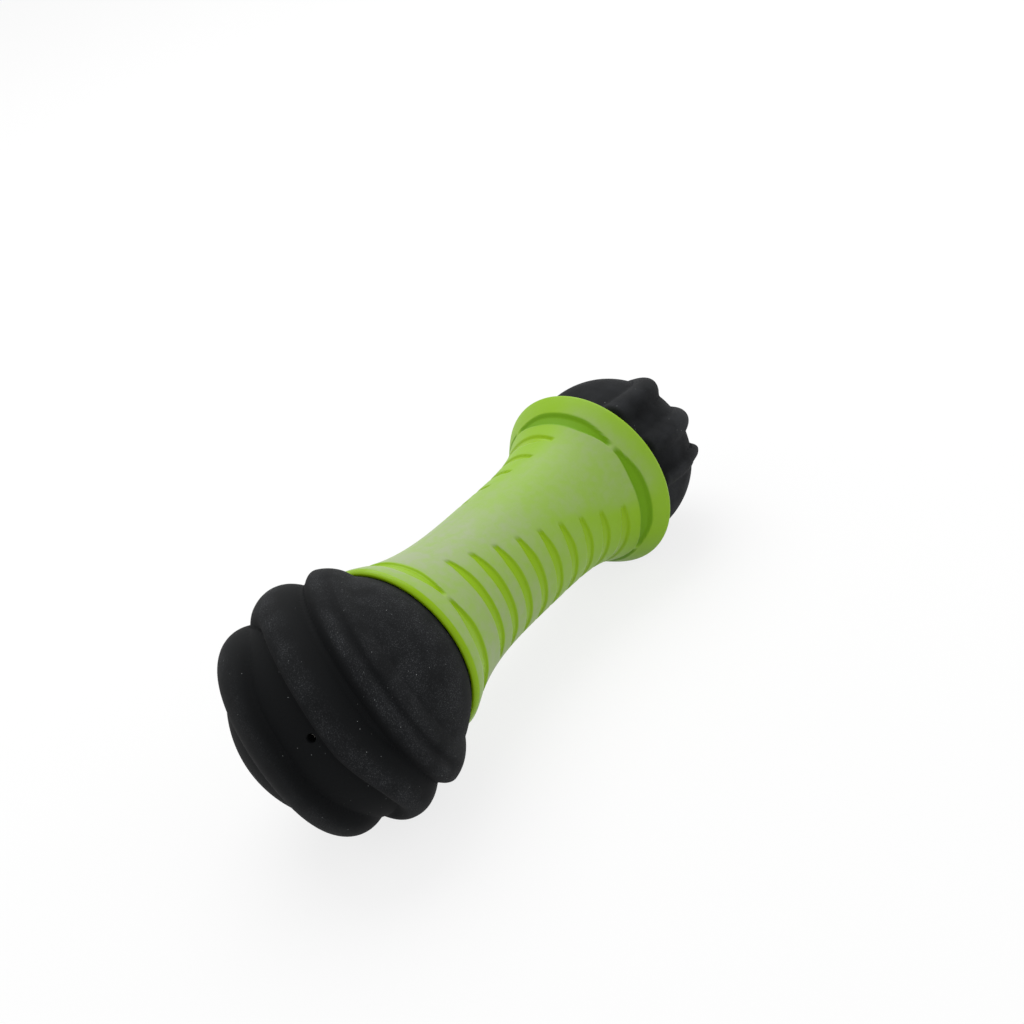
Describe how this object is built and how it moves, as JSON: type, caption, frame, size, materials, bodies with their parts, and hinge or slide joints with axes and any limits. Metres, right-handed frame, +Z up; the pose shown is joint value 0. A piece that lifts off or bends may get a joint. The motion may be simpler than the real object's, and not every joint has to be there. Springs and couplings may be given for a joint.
{
  "type": "dog fetch stick",
  "caption": "Waisted dog fetch stick: a grooved lime-green grip sleeve with a ridged hollow black rubber ball plugged into each end, one large and one small, each with a squeaker.",
  "frame": {"origin": "on the floor, under the middle of the stick's box as it lies at rest", "axes": "+X along the stick from the left ball to the right ball, +Z up, +Y across"},
  "size_m": [0.1852, 0.0676, 0.0679],
  "materials": {
    "lime_sleeve": "frosted moulding with glossy grooves",
    "core_nylon": "natural nylon moulding",
    "black_rubber": "matt cured rubber with a fine grain",
    "squeaker_plastic": "plain moulding",
    "reed_film": "thin film"
  },
  "bodies": {
    "handle": {"handle_sleeve": "lime_sleeve", "core_tube": "core_nylon"},
    "left_end": {"left_ball": "black_rubber", "left_squeaker_body": "squeaker_plastic", "left_squeaker_reed": "reed_film", "left_squeaker_cap": "squeaker_plastic"},
    "right_end": {"right_ball": "black_rubber", "right_squeaker_body": "squeaker_plastic", "right_squeaker_reed": "reed_film", "right_squeaker_cap": "squeaker_plastic"}
  },
  "joints": [
    {"name": "left_ball_swivel", "type": "hinge", "parent": "handle", "child": "left_end", "pos_m": [0.00893, -0.00109, 0.0302], "axis": [0.9985, 0, -0.0548], "continuous": true},
    {"name": "right_ball_swivel", "type": "hinge", "parent": "handle", "child": "right_end", "pos_m": [0.00893, -0.00109, 0.0302], "axis": [0.9985, 0, -0.0548], "continuous": true}
  ]
}
